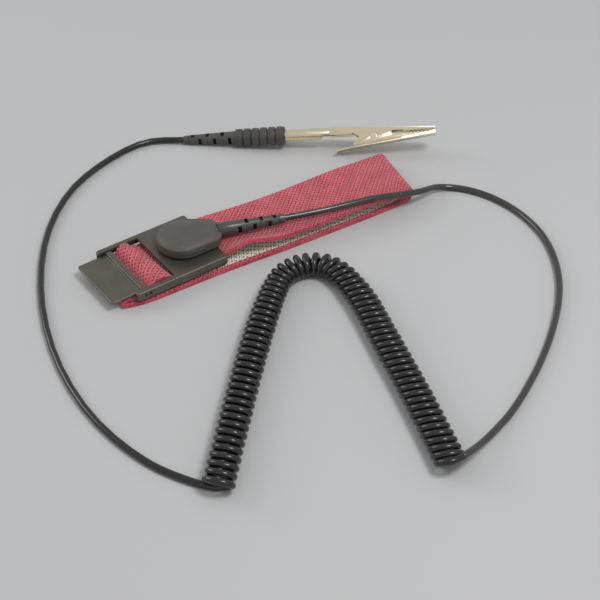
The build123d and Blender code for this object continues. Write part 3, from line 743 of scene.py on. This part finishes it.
plug_relief = drawn_out(
    "plug_strain_relief", round_outline(40),
    [(-34.0, 1.10), (-33.9, 1.30), (-32.5, 1.42), (-32.4, 1.25), (-32.2, 1.25), (-32.1, 1.50),
     (-16.8, 2.25), (-16.5, 2.25)],
    plug_place, "strap", "relief_plastic", relief_plastic, "plug_relief")
slotted(plug_relief, plug_place,
        [(-18.3, 2.15, True), (-20.8, 2.05, False), (-23.4, 1.95, True), (-25.8, 1.8, False),
         (-28.3, 1.7, True), (-30.8, 1.55, False)])

# --- band ----------------------------------------------------------------------------------
# stations along the band: x, middle y, z, then how far the near edge moves out, rises, how far
# the near quarter rises, how far the far edge rises, and the turn of the width, in millimetres
BAND = [
    (4.2, 0.0, 3.25, 0, 0, 0, 0, 0),
    (7.5, 0.0, 3.25, 0, 0, 0, 0, 0),
    (10.3, -0.6, 3.45, 0, 0.3, 0.0, 0, 0),
    (13.2, -1.9, 4.15, -0.5, 1.6, 0.3, 0.1, 0.03),
    (17.3, -3.0, 4.40, -1.0, 2.6, 0.4, 0.2, 0.06),
    (22.0, -3.7, 4.45, -0.4, 1.9, 0.3, 0.2, 0.07),
    (27.0, -4.4, 4.55, 0, 0.6, 0.1, 0.1, 0.07),
    (33.0, -5.1, 4.75, 0, 0.2, 0.0, 0.0, 0.07),
    (40.0, -5.8, 4.90, 0, 0.1, 0.0, 0.1, 0.07),
    (48.0, -6.4, 5.20, 0, 0.1, 0.0, 0.2, 0.07),
    (55.0, -6.8, 5.60, 0.2, 0.0, 0.0, 0.1, 0.07),
    (62.0, -7.2, 5.70, 0.6, 0.1, 0.0, 0, 0.08),
    (68.0, -7.5, 5.30, 0.8, -0.2, 0.0, 0, 0.10),
    (73.0, -7.6, 4.90, 0.4, -0.4, 0.0, 0, 0.16),
    (77.3, -7.5, 4.80, -0.4, -0.2, 0.0, 0, 0.20),
    (77.8, -7.4, 2.70, -0.6, 0.0, 0.0, 0, 0.20),
    (77.3, -7.3, 0.60, -0.3, 0.0, 0.0, 0, 0.20),
    (72.5, -7.4, 0.62, 0, 0, 0, 0, 0.12),
    (64.0, -7.3, 0.62, 0, 0, 0, 0, 0.07),
    (55.0, -6.8, 0.62, 0, 0, 0, 0, 0.07),
    (46.0, -6.2, 0.62, 0, 0, 0, 0, 0.07),
    (37.0, -5.7, 0.62, 0, 0, 0, 0, 0.07),
    (28.0, -5.1, 0.62, 0, 0, 0, 0, 0.07),
    (20.0, -4.3, 0.62, 0, 0, 0, 0, 0.07),
    (12.0, -3.6, 0.62, 0, 0, 0, 0, 0.06),
    (3.5, -3.1, 0.62, 0, 0, 0, 0, 0.04),
    (-8.0, -2.6, 0.62, 0, 0, 0, 0, 0.02),
    (-17.5, -2.2, 0.62, 0, 0, 0, 0, 0),
    (-22.5, -1.6, 0.62, -0.4, 0, 0, 0, 0),
    (-25.3, -1.1, 0.66, -0.8, 0, 0, 0, 0),
    (-25.3, -0.6, 2.04, -0.6, 0, 0, 0, 0),
    (-22.6, -0.2, 2.08, -0.2, 0, 0, 0, 0),
    (-18.8, 0.0, 2.05, 0, 0, 0, 0, 0),
    (-16.1, 0.0, 2.10, 0, 0, 0, 0, 0.01),
    (-14.9, 0.0, 4.45, 0, 0, 0, 0, 0.0),
    (-12.8, 0.0, 4.95, 0, 0, 0, 0, -0.02),
    (-10.9, 0.0, 4.45, 0, 0, 0, 0, -0.14),
    (-9.4, 0.0, 2.35, 0, 0, 0, 0, -0.14),
    (-6.9, 0.0, 2.00, 0, 0, 0, 0, -0.02),
]
RAILS = (-1.0, -0.78, -0.45, 0.0, 0.45, 0.78, 1.0)
MIDDLE_RAIL = 3
EDGE_FROM = 0.62           # the share of the half width where the raised edges begin
BAND_ACROSS = 34
BAND_STEP = 0.0005
BAND_THICK = 1.2
EDGE_ROUND = 0.42


def band_rail(share):
    """One lengthwise line of the band, steered by its stations."""
    near = max(0.0, -share)
    edge = max(0.0, (near - EDGE_FROM) / (1 - EDGE_FROM))
    far = max(0.0, (share - EDGE_FROM) / (1 - EDGE_FROM))
    places = []
    for x, y, z, out, rise, quarter, far_rise, turned in BAND:
        wide = share * HALF_WIDTH - out * edge
        places.append(((x + wide * turned) * MM, (y + wide) * MM,
                       (z + rise * edge ** 1.5 + quarter * near * (1 - edge)
                        + far_rise * far) * MM))
    return smooth_line(places, 14)


rails = np.array([[list(p) for p in band_rail(share)] for share in RAILS])
steps = np.linalg.norm(np.diff(rails[MIDDLE_RAIL], axis=0), axis=1)
travel = np.concatenate([[0], np.cumsum(steps)])
even = np.linspace(0, travel[-1], int(travel[-1] / BAND_STEP))
rails = np.array([[np.interp(even, travel, rail[:, axis]) for axis in range(3)]
                  for rail in rails]).transpose(0, 2, 1)
shares = np.linspace(-1, 1, BAND_ACROSS)
cloth = np.zeros((len(even), BAND_ACROSS, 3))
for j, share in enumerate(shares):
    k = min(int(np.searchsorted(RAILS, share, side="right")), len(RAILS) - 1)
    low, high = RAILS[k - 1], RAILS[k]
    t = (share - low) / (high - low)
    before, after = max(k - 2, 0), min(k + 1, len(RAILS) - 1)
    slope_low = (rails[k] - rails[before]) / (RAILS[k] - RAILS[before]) * (high - low)
    slope_high = (rails[after] - rails[k - 1]) / (RAILS[after] - RAILS[k - 1]) * (high - low)
    # a smooth curve through the rails on both sides, with their slopes
    cloth[:, j] = ((2 * t ** 3 - 3 * t ** 2 + 1) * rails[k - 1]
                   + (t ** 3 - 2 * t ** 2 + t) * slope_low
                   + (3 * t ** 2 - 2 * t ** 3) * rails[k] + (t ** 3 - t ** 2) * slope_high)

band_mesh = bpy.data.meshes.new("woven_band")
build = bmesh.new()
grid = [[build.verts.new(tuple(p)) for p in row] for row in cloth]
uv_layer = build.loops.layers.uv.new("weave")
for i in range(len(even) - 1):
    for j in range(BAND_ACROSS - 1):
        corners = ((i, j), (i, j + 1), (i + 1, j + 1), (i + 1, j))
        face = build.faces.new([grid[a][b] for a, b in corners])
        face.smooth = True
        for loop, (a, b) in zip(face.loops, corners):
            loop[uv_layer].uv = ((shares[b] + 1) * HALF_WIDTH, even[a] / MM)
build.to_mesh(band_mesh)
build.free()
band = put("woven_band", band_mesh, [band_inside, band_outside, selvedge], "strap", "band_weave",
           "wrist_band")
thick = band.modifiers.new("thickness", "SOLIDIFY")
thick.thickness = BAND_THICK * MM
thick.offset = 0
thick.use_even_offset = True
thick.material_offset = 1
thick.material_offset_rim = 2
soft_edge = band.modifiers.new("soft edge", "BEVEL")
soft_edge.width = EDGE_ROUND * MM
soft_edge.segments = 3
soft_edge.limit_method = "ANGLE"
soft_edge.angle_limit = math.radians(50)
work_on(band)
for modifier in ("thickness", "soft edge"):
    bpy.ops.object.modifier_apply(modifier=modifier)

# --- floor ---------------------------------------------------------------------------------
floor_mesh = bpy.data.meshes.new("floor")
build = bmesh.new()
bmesh.ops.create_grid(build, x_segments=1, y_segments=1, size=3.0)
build.to_mesh(floor_mesh)
build.free()
floor = bpy.data.objects.new("floor", floor_mesh)
floor.location = (0, 0, -0.00002)
scene.collection.objects.link(floor)
floor_finish, floor_tree, floor_shader, _ = blank_material("pale_floor")
floor_shader.inputs["Base Color"].default_value = (0.52, 0.52, 0.52, 1)
floor_shader.inputs["Roughness"].default_value = 0.9
floor_shader.inputs["Specular IOR Level"].default_value = 0.1
floor.data.materials.append(floor_finish)
